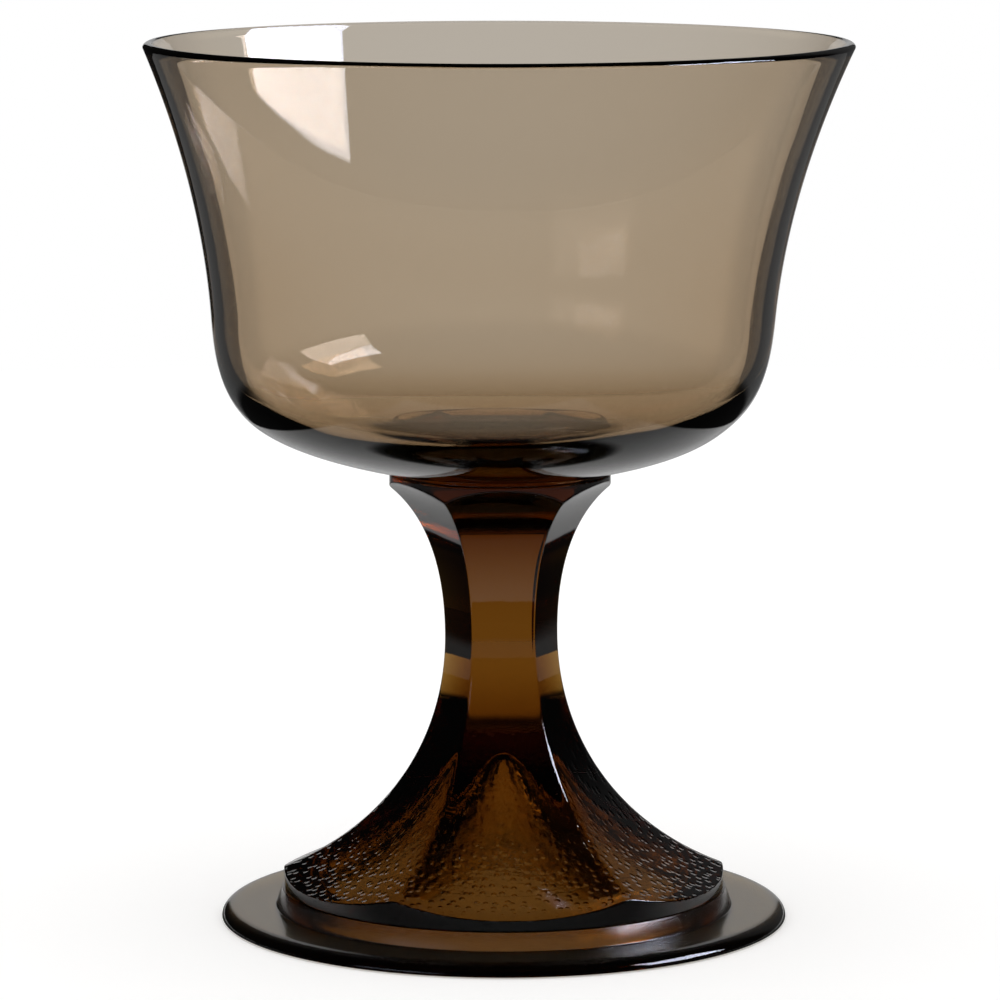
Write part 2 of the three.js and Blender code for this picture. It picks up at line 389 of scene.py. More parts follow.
class GlassLooks(bpy.types.PropertyGroup):
    """Colours and surface detail of the two glasses."""

    bowl_tint: bpy.props.FloatVectorProperty(
        name="Bowl Tint", description="Colour that the bowl's glass lets through",
        default=(0.587, 0.379, 0.07), subtype="COLOR", min=0, max=1,
    )
    bowl_density: bpy.props.FloatProperty(
        name="Bowl Density", description="Absorption of the bowl's glass per metre", default=375.0
    )
    stem_tint: bpy.props.FloatVectorProperty(
        name="Stem Tint", description="Colour that the stem's glass lets through",
        default=(0.675, 0.472, 0.0), subtype="COLOR", min=0, max=1,
    )
    stem_density: bpy.props.FloatProperty(
        name="Stem Density", description="Absorption of the stem's glass per metre", default=375.0
    )
    bending: bpy.props.FloatProperty(
        name="Bending", description="Refractive index of the glass", default=1.52
    )
    haze: bpy.props.FloatProperty(
        name="Haze", description="Roughness of the dull specks on polished glass",
        default=0.02, subtype="FACTOR",
    )
    hollow_haze: bpy.props.FloatProperty(
        name="Hollow Haze", description="Roughness of the unpolished hollow", default=0.09, subtype="FACTOR"
    )
    brim_wear: bpy.props.FloatProperty(
        name="Brim Wear", description="Roughness of the worn brim", default=0.17, subtype="FACTOR"
    )
    step_wear: bpy.props.FloatProperty(
        name="Step Wear", description="Least roughness of the step's face", default=0.18, subtype="FACTOR"
    )
    step_grain: bpy.props.FloatProperty(
        name="Step Grain", description="Change of the roughness over the step's face",
        default=0.06, subtype="FACTOR",
    )
    pit_spacing: bpy.props.FloatProperty(
        name="Pit Spacing", description="Spacing of the skirt's pits", default=1.35 * MM, unit="LENGTH"
    )
    pit_depth: bpy.props.FloatProperty(
        name="Pit Depth", description="Depth of the skirt's pits", default=0.1 * MM, unit="LENGTH"
    )
    pit_scatter: bpy.props.FloatProperty(
        name="Pit Scatter", description="How far the pits stray from even rows",
        default=0.85, subtype="FACTOR",
    )
    pit_top: bpy.props.FloatProperty(
        name="Pit Top", description="Height at which the pits fade out", default=26.0 * MM, unit="LENGTH"
    )
    pit_fade: bpy.props.FloatProperty(
        name="Pit Fade", description="Height over which they fade", default=17.0 * MM, unit="LENGTH"
    )


class StudioSettings(bpy.types.PropertyGroup):
    """Camera, floor and light."""

    camera_distance: bpy.props.FloatProperty(
        name="Camera Distance", description="In front of the axis", default=0.6989, unit="LENGTH"
    )
    camera_height: bpy.props.FloatProperty(
        name="Camera Height", description="Over the floor", default=0.1578, unit="LENGTH"
    )
    camera_pitch: bpy.props.FloatProperty(
        name="Camera Pitch", description="Looking down by", default=0.14577, subtype="ANGLE"
    )
    camera_lens: bpy.props.FloatProperty(
        name="Lens", description="Focal length in mm", default=194.9
    )
    floor_radius: bpy.props.FloatProperty(
        name="Floor Radius", description="Radius of the pale floor", default=0.6, unit="LENGTH"
    )
    floor_level: bpy.props.FloatProperty(
        name="Floor Level", description="How white the floor is", default=0.9, subtype="FACTOR"
    )
    sheet_front: bpy.props.FloatProperty(
        name="Sheet Front", description="How far the white sheet reaches in front",
        default=0.113, unit="LENGTH",
    )
    sheet_half: bpy.props.FloatProperty(
        name="Sheet Half Width", description="Half the width of the sheet", default=0.078, unit="LENGTH"
    )
    sheet_level: bpy.props.FloatProperty(
        name="Sheet Level", description="How white the sheet is through the glass",
        default=0.72, subtype="FACTOR",
    )
    sheet_mirrored: bpy.props.FloatProperty(
        name="Sheet Mirrored", description="How white the sheet is in the glass's surface",
        default=0.6, subtype="FACTOR",
    )
    card_half: bpy.props.FloatProperty(
        name="Card Half Width", description="Half the width of the card", default=0.074, unit="LENGTH"
    )
    card_distance: bpy.props.FloatProperty(
        name="Card Distance", description="How far behind the axis the card stands",
        default=0.19, unit="LENGTH",
    )
    card_height: bpy.props.FloatProperty(
        name="Card Height", description="Height of the card", default=0.147, unit="LENGTH"
    )
    card_level: bpy.props.FloatProperty(
        name="Card Level", description="Light of the card through the glass", default=0.61, subtype="FACTOR"
    )
    card_mirrored: bpy.props.FloatProperty(
        name="Card Mirrored", description="Share of that light in the glass's surface",
        default=0.78, subtype="FACTOR",
    )
    window_tint: bpy.props.FloatVectorProperty(
        name="Window Tint", description="Colour of the daylight", default=(0.93, 1.0, 1.23), subtype="COLOR"
    )
    main_light: bpy.props.FloatProperty(
        name="Main Window", description="Strength of the window at the right", default=12.7
    )
    faint_light: bpy.props.FloatProperty(
        name="Faint Window", description="Strength of the window at the front left", default=0.75
    )


def bezier(start, handle_out, handle_in, end, count):
    """Cubic curve: the four points weighted by (1-t)^3, 3(1-t)^2 t, 3(1-t) t^2 and t^3."""
    t = np.linspace(0.0, 1.0, count)[:, None]
    s = 1.0 - t
    points = [np.asarray(p, float) for p in (start, handle_out, handle_in, end)]
    return s**3 * points[0] + 3 * s**2 * t * points[1] + 3 * s * t**2 * points[2] + t**3 * points[3]


def arc(centre, radii, first, last, count):
    """Elliptic arc: centre plus radii times (cos a, sin a), a running from first to last."""
    a = np.linspace(first, last, count)
    return np.stack([centre[0] + radii[0] * np.cos(a), centre[1] + radii[1] * np.sin(a)], axis=1)


def line(start, end, count=2):
    """Straight run of evenly spaced points."""
    t = np.linspace(0.0, 1.0, count)[:, None]
    return (1.0 - t) * np.asarray(start, float) + t * np.asarray(end, float)


def leaning(angle, length):
    """Vector of the profile plane, turned from straight up towards the outside by an angle."""
    return np.array([math.sin(angle), math.cos(angle)]) * length


def turned(points, angle):
    """Profile points turned about the origin."""
    cos, sin = math.cos(angle), math.sin(angle)
    return points @ np.array([[cos, sin], [-sin, cos]])


def chain(*runs):
    """One profile from runs that end where the next one starts; the shared points are kept once."""
    return np.concatenate([runs[0]] + [run[1:] for run in runs[1:]])


def radius_at(profile, height):
    """Radius at a height of a profile that runs downwards."""
    return np.interp(height, profile[::-1, 1], profile[::-1, 0])


def soft_min(a, b, width):
    """The lesser of two fields, with the corner rounded over a width: min - (w - |a-b|)^2 / 4w."""
    blend = np.maximum(width - np.abs(a - b), 0.0)
    return np.minimum(a, b) - blend**2 / (4.0 * width)


def prism_radius(towards, power):
    """Radius of a prism with rounded ridges: (sum of c^p) to the power -1/p, c being the cosines
    towards each flat, for every power p (rows) and every direction (columns)."""
    terms = towards[None, :, :] ** power[:, None, None]
    return np.sum(terms, axis=2) ** (-1.0 / power[:, None])


def lean(height):
    """Sideways set of the hot-joined glass at a height: the stem drifts to +X towards its skirt as
    the 1.2th power of the depth below the cap, and the bowl sits to -X at its base and comes back
    towards its rim as t (3 - t) / 2, t being the depth below the rim."""
    stem = bpy.context.scene.sherbet_stem
    bowl = bpy.context.scene.sherbet_bowl
    below = np.clip((stem.top - height) / (stem.top - stem.base), 0.0, 1.0)
    above = np.clip((bowl.top - height) / bowl.drift_depth, 0.0, 1.0)
    rise = np.clip((height - bowl.base) / bowl.drift_start, 0.0, 1.0)
    begun = rise * rise * (3.0 - 2.0 * rise)
    back = bowl.rim_drift + bowl.base_drift * above * (3.0 - above) / 2.0
    return stem.drift * below**1.2 - begun * back


def set_round(radius, height, angle):
    """Points at a radius and a height in each direction, moved sideways by the glass's lean."""
    return np.stack([radius * np.cos(angle) + lean(height), radius * np.sin(angle), height], axis=2)


def bands(first, second, columns):
    """Four-sided faces that join ring first[i] to ring second[i], column by column."""
    here = np.arange(columns)
    after = (here + 1) % columns
    low, high = first[:, None] * columns, second[:, None] * columns
    return np.stack([low + here, low + after, high + after, high + here], axis=2).reshape(-1, 4).tolist()


def make_piece(name, points, faces):
    """Puts points and faces into the mesh of a new object at the origin, smooth but for sharp edges."""
    mesh = bpy.data.meshes.new(name)
    mesh.from_pydata(points, [], faces)
    mesh.validate()
    mesh.shade_smooth()
    mesh.set_sharp_from_angle(angle=SHARP_ANGLE)
    piece = bpy.data.objects.new(name, mesh)
    bpy.context.scene.collection.objects.link(piece)
    return piece


def surface(name, radius, height, angle):
    """Closed body from a grid: point (i, j) stands at radius[i, j] and height[i, j] in direction
    angle[j]. The first and the last row lie on the axis and become one pole each."""
    columns = len(angle)
    rings = set_round(radius, height, angle)[1:-1]
    ends = height[[0, -1], 0]
    poles = np.stack([lean(ends), 0.0 * ends, ends], axis=1)
    ring = np.arange(len(rings))
    low = len(rings) * columns
    here = np.arange(columns)
    after = (here + 1) % columns
    last = low - columns
    fans = np.concatenate(
        [
            np.stack([np.full(columns, low), after, here], axis=1),
            np.stack([np.full(columns, low + 1), last + here, last + after], axis=1),
        ]
    )
    points = np.concatenate([rings.reshape(-1, 3), poles])
    return make_piece(name, points, bands(ring[:-1], ring[1:], columns) + fans.tolist())


def lathe(name, profile, columns):
    """Profile points (r, z) from axis to axis carried round it, the same in every direction."""
    angle = np.linspace(0.0, 2.0 * math.pi, columns, endpoint=False)
    radius = np.repeat(profile[:, :1], columns, axis=1)
    height = np.repeat(profile[:, 1:], columns, axis=1)
    return surface(name, radius, height, angle)


def ring_lathe(name, profile, columns):
    """A closed profile that doesn't reach the axis, carried round it into a ring."""
    angle = np.linspace(0.0, 2.0 * math.pi, columns, endpoint=False)
    loop = profile[:-1]
    height = np.repeat(loop[:, 1:], columns, axis=1)
    ring = np.arange(len(loop))
    points = set_round(loop[:, :1], height, angle).reshape(-1, 3)
    return make_piece(name, points, bands(ring, np.roll(ring, -1), columns))


def set_attribute(piece, name, domain, values):
    """Stores one number per point or per face, under the name by which the material reads it."""
    attribute = piece.data.attributes.new(name, "FLOAT", domain)
    attribute.data.foreach_set("value", np.asarray(values, np.float32))


def mark_joined(piece, *contacts):
    """Marks the flat faces that are fused to a neighbour: each corner stands at one of the contact
    heights and inside its radius. The glass goes on there without a surface of its own."""
    mesh = piece.data
    points = np.empty(3 * len(mesh.vertices))
    mesh.vertices.foreach_get("co", points)
    x, y, z = points.reshape(-1, 3).T
    reach = np.hypot(x - lean(z), y)
    height, radius = np.array(contacts).T[:, :, None]
    level = np.abs(z - height) < CONTACT_TOLERANCE
    fused = np.any(level & (reach < radius + CONTACT_TOLERANCE), axis=0)
    corners = np.empty(len(mesh.loops), np.int32)
    mesh.loops.foreach_get("vertex_index", corners)
    starts = np.empty(len(mesh.polygons), np.int32)
    mesh.polygons.foreach_get("loop_start", starts)
    set_attribute(piece, "joined", "FACE", np.minimum.reduceat(fused.astype(np.float32)[corners], starts))


class Wire:
    """A shader socket that takes part in sums: each operation on it adds one Math node."""

    def __init__(self, tree, socket=None):
        self.tree = tree
        self.socket = socket

    def add(self, kind, settings=None, sockets=None, output=0):
        """Adds a node of any type; settings come first, then values or links of its sockets."""
        node = self.tree.nodes.new(kind)
        for key, value in (settings or {}).items():
            setattr(node, key, value)
        for key, value in (sockets or {}).items():
            if isinstance(value, Wire):
                self.tree.links.new(value.socket, node.inputs[key])
            else:
                node.inputs[key].default_value = value
        return Wire(self.tree, node.outputs[output] if node.outputs else None)

    def math(self, operation, *values):
        """One Math node on any values or wires."""
        return self.add("ShaderNodeMath", {"operation": operation}, dict(enumerate(values)))

    def __add__(self, other):
        return self.math("ADD", self, other)

    __radd__ = __add__

    def __sub__(self, other):
        return self.math("SUBTRACT", self, other)

    def __rsub__(self, other):
        return self.math("SUBTRACT", other, self)

    def __mul__(self, other):
        return self.math("MULTIPLY", self, other)

    __rmul__ = __mul__

    def ramp(self, low, high):
        """0 below low, 1 above high, smooth between; low may be the greater one."""
        kind = {"interpolation_type": "SMOOTHSTEP"}
        if low < high:
            return self.add("ShaderNodeMapRange", kind, {"Value": self, 1: low, 2: high, 3: 0.0, 4: 1.0})
        return self.add("ShaderNodeMapRange", kind, {"Value": self, 1: high, 2: low, 3: 1.0, 4: 0.0})

    def parts(self):
        """The x, y and z of a vector."""
        whole = self.add("ShaderNodeSeparateXYZ", None, {0: self})
        return [Wire(self.tree, socket) for socket in whole.socket.node.outputs]

    def grey(self):
        """A level as a colour without hue."""
        return self.add("ShaderNodeCombineColor", None, {0: self, 1: self, 2: self})

    def noise(self, grain, detail):
        """Cloudy noise from 0 to 1 over a place, with a number of grains per metre."""
        return self.add("ShaderNodeTexNoise", None, {"Vector": self, "Scale": grain, "Detail": detail})

    def bump(self, distance, strength=1.0):
        """Normal of a surface that rises by a height field times a distance."""
        sockets = {"Strength": strength, "Distance": distance, "Height": self}
        return self.add("ShaderNodeBump", None, sockets)

    def light(self, ray):
        """What kind of ray it is that sees the surface."""
        return self.add("ShaderNodeLightPath", output=ray)

    def stored(self, name):
        """A number that the mesh carries."""
        return self.add("ShaderNodeAttribute", {"attribute_name": name}, output="Fac")


def blank(name):
    """A new material with an empty tree, and a wire to build on."""
    material = bpy.data.materials.new(name)
    material.use_nodes = True
    material.node_tree.nodes.clear()
    return material, Wire(material.node_tree)


def clear_glass(name, tint, density, finish):
    """Clear glass whose body takes up light: finish gives the roughness and the normal. Where faces
    are fused to a neighbour, light goes straight on."""
    looks = bpy.context.scene.sherbet_looks
    material, wire = blank(name)
    rough, normal = finish(wire.add("ShaderNodeTexCoord", output="Object"))
    shader = wire.add(
        "ShaderNodeBsdfPrincipled",
        None,
        {
            "Base Color": (1.0, 1.0, 1.0, 1.0),
            "Roughness": rough,
            "IOR": looks.bending,
            "Transmission Weight": 1.0,
            "Normal": normal,
        },
    )
    onward = wire.add("ShaderNodeBsdfTransparent")
    skin = wire.add("ShaderNodeMixShader", None, {0: wire.stored("joined"), 1: shader, 2: onward})
    body = wire.add("ShaderNodeVolumeAbsorption", None, {"Color": (*tint, 1.0), "Density": density})
    wire.add("ShaderNodeOutputMaterial", None, {"Surface": skin, "Volume": body})
    return material


def blown_finish(place):
    """Blown glass: long faint waves down the wall and a little haze."""
    looks = bpy.context.scene.sherbet_looks
    normal = place.noise(WAVE_GRAIN, 2.0).bump(WAVE_DEPTH, WAVE_STRENGTH)
    return place.noise(FINE_GRAIN, 3.0).ramp(*SPECKS) * looks.haze, normal


def pressed_finish(place):
    """Pressed glass: pits on the lower panels, from rounded cells, a faint mould skin outside and a
    mottled, unpolished one inside the hollow."""
    looks = bpy.context.scene.sherbet_looks
    cell = place.add(
        "ShaderNodeTexVoronoi",
        {"feature": "F1", "voronoi_dimensions": "2D"},
        {"Vector": place, "Scale": 1.0 / looks.pit_spacing, "Randomness": looks.pit_scatter},
        output="Distance",
    )
    pits = cell.ramp(*PIT_EDGE) * place.stored("pits")
    inner = place.stored("inner")
    skin = place.noise(SKIN_GRAIN, 2.0)
    mottle = place.noise(FINE_GRAIN, 2.0)
    height = skin * (inner * INNER_SKIN + OUTER_SKIN) + mottle * inner * INNER_MOTTLE - pits
    rough = skin.ramp(*SPECKS) * looks.haze + inner * looks.hollow_haze
    return rough, height.bump(looks.pit_depth)


def foot_finish(place):
    """Pressed foot: a brim dulled by wear, a worn face on the step and an unpolished hollow."""
    foot = bpy.context.scene.sherbet_foot
    stem = bpy.context.scene.sherbet_stem
    looks = bpy.context.scene.sherbet_looks
    x, y, z = place.parts()
    reach = x.math("SQRT", x * x + y * y)
    grain = place.noise(FINE_GRAIN, 3.0)
    brim_start = foot.step_radius + WEAR_START
    brim_full = brim_start + WEAR_RUN
    upper = z.ramp(foot.thickness - WEAR_DEPTH, foot.thickness - WEAR_SOFT)
    brim = reach.ramp(brim_start, brim_full) * upper * looks.brim_wear
    raised = z.ramp(foot.thickness - WEAR_SOFT, foot.thickness + WEAR_SOFT)
    outside = reach.ramp(stem.skirt_radius - 2.0 * WEAR_SOFT, stem.skirt_radius)
    worn = outside * reach.ramp(brim_full, brim_start) * raised
    face = worn * (grain.ramp(*STEP_PATCHES) * looks.step_grain + looks.step_wear)
    hollow = reach.ramp(foot.hollow_mouth + 2.0 * WEAR_SOFT, foot.hollow_mouth - MOUTH_INSET)
    rough = brim + face + hollow * looks.hollow_haze
    return rough, grain.bump(GRAIN_DEPTH, GRAIN_STRENGTH)


def settle(piece, material, slot, *nodes):
    """Gives a finished piece its material and its body, and hides the solids it stands for. The slot is not
    used.
    """
    piece.data.materials.append(material)
    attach(piece, "root")
    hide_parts(*nodes)


def hollow_line(foot):
    """The hollow from its tip down to its mouth: a bell, one cubic with a level handle at the tip,
    and a short steep lip that the bell runs into without a corner."""
    lip = np.array([foot.hollow_lip_radius, foot.hollow_lip_height])
    mouth = np.array([foot.hollow_mouth, 0.0])
    rise = leaning(foot.hollow_slope - math.pi / 2, 1.0)
    tip = np.array([0.0, foot.hollow_depth])
    bell = bezier(tip, tip + (foot.hollow_tip, 0.0), lip + rise * foot.hollow_run, lip, HOLLOW_POINTS)
    lip_out = lip - rise * foot.hollow_lip_run
    mouth_in = mouth + leaning(-foot.hollow_lip_lean, foot.hollow_lip_run)
    return chain(bell, bezier(lip, lip_out, mouth_in, mouth, 16))


def step_line(foot):
    """The step from the brim up to its top: a leaning face, one cubic that is flatter at its top, with
    both corners rounded by cubics whose handles meet in the corner."""
    crown = np.array([foot.step_radius, foot.thickness + foot.step_height])
    root = np.array([foot.step_radius + foot.step_height * math.tan(foot.step_lean), foot.thickness])
    flatter = leaning(-foot.step_lean - foot.step_bulge, 1.0)
    steeper = leaning(-foot.step_lean + foot.step_bulge, 1.0)
    low, high = root + steeper * foot.step_fillet, crown - flatter * foot.step_round
    return chain(
        bezier(root + (foot.step_fillet, 0.0), root, root, low, 10),
        bezier(low, low + steeper * foot.step_run, high - flatter * foot.step_run, high, 12),
        bezier(high, crown, crown, crown - (foot.step_round, 0.0), 10),
    )


class SHERBET_OT_foot(bpy.types.Operator):
    """Build the stepped round foot"""

    bl_idname = "sherbet.foot"
    bl_label = "Build Foot"

    def execute(self, context):
        foot = context.scene.sherbet_foot
        stem = context.scene.sherbet_stem
        looks = context.scene.sherbet_looks
        top = foot.thickness + foot.step_height
        hollow = hollow_line(foot)
        inside = hollow[hollow[:, 1] < top]
        edge = (radius_at(hollow, top), top)
        joint = (stem.skirt_radius - stem.skirt_chamfer, top)
        heel = foot.radius - foot.heel
        brim_end = foot.radius - foot.edge_width
        rise = foot.thickness - foot.edge_widest
        step = step_line(foot)
        ring = chain(
            np.concatenate([[edge], inside]),
            line((foot.hollow_mouth, 0.0), (heel, 0.0), 12),
            arc((heel, foot.edge_widest), (foot.heel, foot.edge_widest), -math.pi / 2, 0.0, 10),
            arc((brim_end, foot.edge_widest), (foot.edge_width, rise), 0.0, math.pi / 2, 18),
            line((brim_end, foot.thickness), step[0], 8),
            step,
            line(step[-1], joint),
            line(joint, edge, 10),
        )
        piece = ring_lathe("foot_glass", ring, FOOT_COLUMNS)
        mark_joined(piece, joint[::-1])
        glass = clear_glass("foot_glass", looks.stem_tint, looks.stem_density, foot_finish)
        settle(piece, glass, "stem_glass", "foot")
        return {"FINISHED"}


def ridge_line(stem):
    """The ridges' outline from the skirt up to the cap: two cubics that meet upright at the waist.
    Both ends lie outside the round walls, where the middle of a panel meets them."""
    reach = 1.0 / math.cos(math.pi / stem.sides)
    skirt_end = np.array([stem.skirt_radius * reach, stem.base + stem.skirt_band])
    cap_end = np.array([stem.cap_radius * reach, stem.top - stem.cap_band])
    waist = np.array([stem.waist_radius, stem.waist_height])
    skirt_out = skirt_end + leaning(-stem.skirt_angle, stem.skirt_flare)
    cap_in = cap_end - leaning(stem.cap_angle, stem.cap_flare)
    lower = bezier(skirt_end, skirt_out, waist - (0.0, stem.waist_down), waist, 150)
    upper = bezier(waist, waist + (0.0, stem.waist_up), cap_in, cap_end, 80)
    return chain(lower, upper)


def panel_shape(stem, ridge):
    """The directions round the stem, closer together near the ridges, and for every row of the ridge
    the radius in each direction as a share of the ridge's: a prism whose ridges are rounded over a
    width that grows by equal factors below the waist."""
    half = math.pi / stem.sides
    step = np.linspace(-1.0, 1.0, PANEL_COLUMNS + 1)[:-1]
    spread = half * (0.5 * step + 0.5 * np.sin(0.5 * math.pi * step))
    facing = -0.5 * math.pi + 2.0 * half * np.arange(stem.sides)
    angle = (facing[:, None] + spread).ravel()
    faces = facing - np.sin(2.0 * facing) * stem.side_turn / math.sin(2.0 * half)
    soft_run = stem.waist_height - stem.ridge_soft_height
    fall = np.clip((stem.waist_height - ridge[:, 1]) / soft_run, 0.0, 1.0)
    width = stem.ridge_crisp * (stem.ridge_soft / stem.ridge_crisp) ** fall
    power = RIDGE_SHARPNESS * ridge[:, 0] / (math.tan(half) * width)
    towards = np.maximum(np.cos(angle[:, None] - faces), 0.0)
    at_ridge = np.maximum(np.cos(faces), 0.0)[None, :]
    return angle + stem.turn, prism_radius(towards, power) / prism_radius(at_ridge, power)


def stem_below(stem, foot):
    """The stem's outline below its panels, from the hollow's tip over the seat and up the skirt's
    wall, and how many of its points lie in the hollow."""
    seat = stem.base - SEAT_OVERLAP
    hollow = hollow_line(foot)
    inside = hollow[hollow[:, 1] > seat][::HOLLOW_STRIDE]
    edge = (radius_at(hollow, seat), seat)
    joint = (stem.skirt_radius - stem.skirt_chamfer, seat)
    corner = (stem.skirt_radius, seat + stem.skirt_chamfer)
    outline = chain(
        np.concatenate([inside, [edge]]),
        line(edge, joint, 8),
        line(joint, corner, 3),
        line(corner, (stem.skirt_radius, stem.base + stem.skirt_band), 8),
    )
    return outline, len(inside)


def stem_above(stem, joint):
    """The stem's outline above its panels: the cap's wall, its chamfer and its flat top, which is
    fused to the wafer inside the joint's radius."""
    corner = (stem.cap_radius, stem.top - stem.cap_chamfer)
    flat = (stem.cap_radius - stem.cap_chamfer, stem.top)
    return chain(
        line((stem.cap_radius, stem.top - stem.cap_band), corner, 3),
        line(corner, flat, 3),
        line(flat, (joint, stem.top)),
        line((joint, stem.top), (0.0, stem.top), 12),
    )


class SHERBET_OT_stem(bpy.types.Operator):
    """Build the panelled stem"""

    bl_idname = "sherbet.stem"
    bl_label = "Build Stem"

    def execute(self, context):
        stem = context.scene.sherbet_stem
        looks = context.scene.sherbet_looks
        joint = context.scene.sherbet_bowl.wafer_radius - WAFER_INSET
        ridge = ridge_line(stem)
        angle, share = panel_shape(stem, ridge)
        below, hollow_rows = stem_below(stem, context.scene.sherbet_foot)
        above = stem_above(stem, joint)
        wall = np.where(ridge[:, 1:] < stem.waist_height, stem.skirt_radius, stem.cap_radius)
        prism = ridge[:, :1] * share
        columns = len(angle)
        under = np.repeat(below[:-1, :1], columns, axis=1)
        over = np.repeat(above[1:, :1], columns, axis=1)
        radius = np.concatenate([under, soft_min(prism, wall, stem.edge_round), over])
        height = np.concatenate([below[:-1, 1:], ridge[:, 1:], above[1:, 1:]])
        piece = surface("stem_glass", radius, np.repeat(height, columns, axis=1), angle)
        mark_joined(
            piece,
            (stem.base - SEAT_OVERLAP, stem.skirt_radius - stem.skirt_chamfer),
            (stem.top, joint),
        )
        fade = np.clip((looks.pit_top - ridge[:, 1:]) / looks.pit_fade, 0.0, 1.0) ** 1.5
        open_panel = prism < wall - 0.3 * stem.edge_round
        pits = np.concatenate([0.0 * under, fade * open_panel, 0.0 * over])
        inner = np.zeros_like(radius)
        inner[:hollow_rows] = 1.0
        set_attribute(piece, "pits", "POINT", np.append(pits[1:-1], [0.0, 0.0]))
        set_attribute(piece, "inner", "POINT", np.append(inner[1:-1], [1.0, 0.0]))
        glass = clear_glass("stem_glass", looks.stem_tint, looks.stem_density, pressed_finish)
        settle(piece, glass, "stem_glass", "stem")
        return {"FINISHED"}


class SHERBET_OT_merese(bpy.types.Operator):
    """Build the wafer between the stem and the bowl"""

    bl_idname = "sherbet.merese"
    bl_label = "Build Wafer"

    def execute(self, context):
        bowl = context.scene.sherbet_bowl
        looks = context.scene.sherbet_looks
        low = context.scene.sherbet_stem.top - WAFER_OVERLAP
        high = bowl.base + WAFER_OVERLAP
        half = 0.5 * (high - low)
        flat = bowl.wafer_radius - half
        profile = chain(
            line((0.0, low), (flat, low), 8),
            arc((flat, low + half), (half, half), -math.pi / 2, math.pi / 2, 13),
            line((flat, high), (0.0, high), 8),
        )
        piece = lathe("merese_glass", profile, WAFER_COLUMNS)
        mark_joined(piece, (low, flat), (high, flat))
        glass = clear_glass("merese_glass", looks.stem_tint, looks.stem_density, blown_finish)
        settle(piece, glass, "stem_glass", "merese")
        return {"FINISHED"}


def bowl_line(bowl, joint):
    """The bowl's outline from the axis under its seat, up the outside, over the lip and down the
    inside to the floor: cubics that share their handles' directions where they meet."""
    across = leaning(bowl.rim_angle - math.pi / 2, 0.5 * bowl.rim_wall)
    reach = np.hypot(across, leaning(bowl.rim_angle, bowl.lip_height))
    rim = np.array([bowl.rim_radius, bowl.top]) - reach
    down = leaning(bowl.rim_angle, bowl.rim_run)
    seat = np.array([bowl.seat_radius, bowl.base])
    shoulder = np.array([bowl.shoulder_radius, bowl.base + bowl.shoulder_height])
    up = leaning(bowl.shoulder_angle, 1.0)
    inward = leaning(bowl.shoulder_angle - math.pi / 2, bowl.side_wall)
    inner = shoulder + inward - (0.0, bowl.inner_drop)
    floor = np.array([0.0, bowl.base + bowl.floor_thickness])
    seat_out = seat + leaning(math.pi / 2 - bowl.underside_angle, bowl.underside_run)
    lip = arc((0.0, 0.0), (0.5 * bowl.rim_wall, bowl.lip_height), 0.0, math.pi, 17)
    return chain(
        line((0.0, bowl.base), (joint, bowl.base), 12),
        line((joint, bowl.base), seat),
        bezier(seat, seat_out, shoulder - up * bowl.shoulder_run, shoulder, 56),
        bezier(shoulder, shoulder + up * bowl.wall_run, rim - across - down, rim - across, 44),
        turned(lip, -bowl.rim_angle) + rim,
        bezier(rim + across, rim + across - down, inner + up * bowl.wall_run, inner, 44),
        bezier(inner, inner - up * bowl.inner_run, floor + (bowl.floor_run, 0.0), floor, 70),
    )


class SHERBET_OT_bowl(bpy.types.Operator):
    """Build the blown bowl"""

    bl_idname = "sherbet.bowl"
    bl_label = "Build Bowl"

    def execute(self, context):
        bowl = context.scene.sherbet_bowl
        looks = context.scene.sherbet_looks
        joint = bowl.wafer_radius - WAFER_INSET
        piece = lathe("bowl_glass", bowl_line(bowl, joint), BOWL_COLUMNS)
        mark_joined(piece, (bowl.base, joint))
        glass = clear_glass("bowl_glass", looks.bowl_tint, looks.bowl_density, blown_finish)
        settle(piece, glass, "bowl_glass", "bowl")
        return {"FINISHED"}


def floor_disc(studio):
    """Flat disc just under the glass: one ring and a middle point."""
    angle = np.linspace(0.0, 2.0 * math.pi, FLOOR_COLUMNS, endpoint=False)
    flat = np.stack([np.cos(angle), np.sin(angle), 0.0 * angle], axis=1) * studio.floor_radius
    points = np.append(flat, [[0.0, 0.0, 0.0]], axis=0) - (0.0, 0.0, FLOOR_GAP)
    here = np.arange(FLOOR_COLUMNS)
    fans = np.stack([0 * here + FLOOR_COLUMNS, here, (here + 1) % FLOOR_COLUMNS], axis=1)
    return make_piece("floor", points, fans.tolist())


def card_behind(studio):
    """Upright white card behind the glass, one rectangle."""
    half, away, high = studio.card_half, studio.card_distance, studio.card_height
    points = [(-half, away, 0.0), (half, away, 0.0), (half, away, high), (-half, away, high)]
    return make_piece("card", points, [(0, 1, 2, 3)])


def white_card(studio):
    """Evenly lit white, a little dimmer where the glass mirrors it."""
    material, wire = blank("white_card")
    through = wire.light("Is Transmission Ray")
    level = studio.card_mirrored + through * (1.0 - studio.card_mirrored)
    shader = wire.add("ShaderNodeEmission", None, {"Color": level.grey(), "Strength": studio.card_level})
    wire.add("ShaderNodeOutputMaterial", None, {"Surface": shader})
    return material


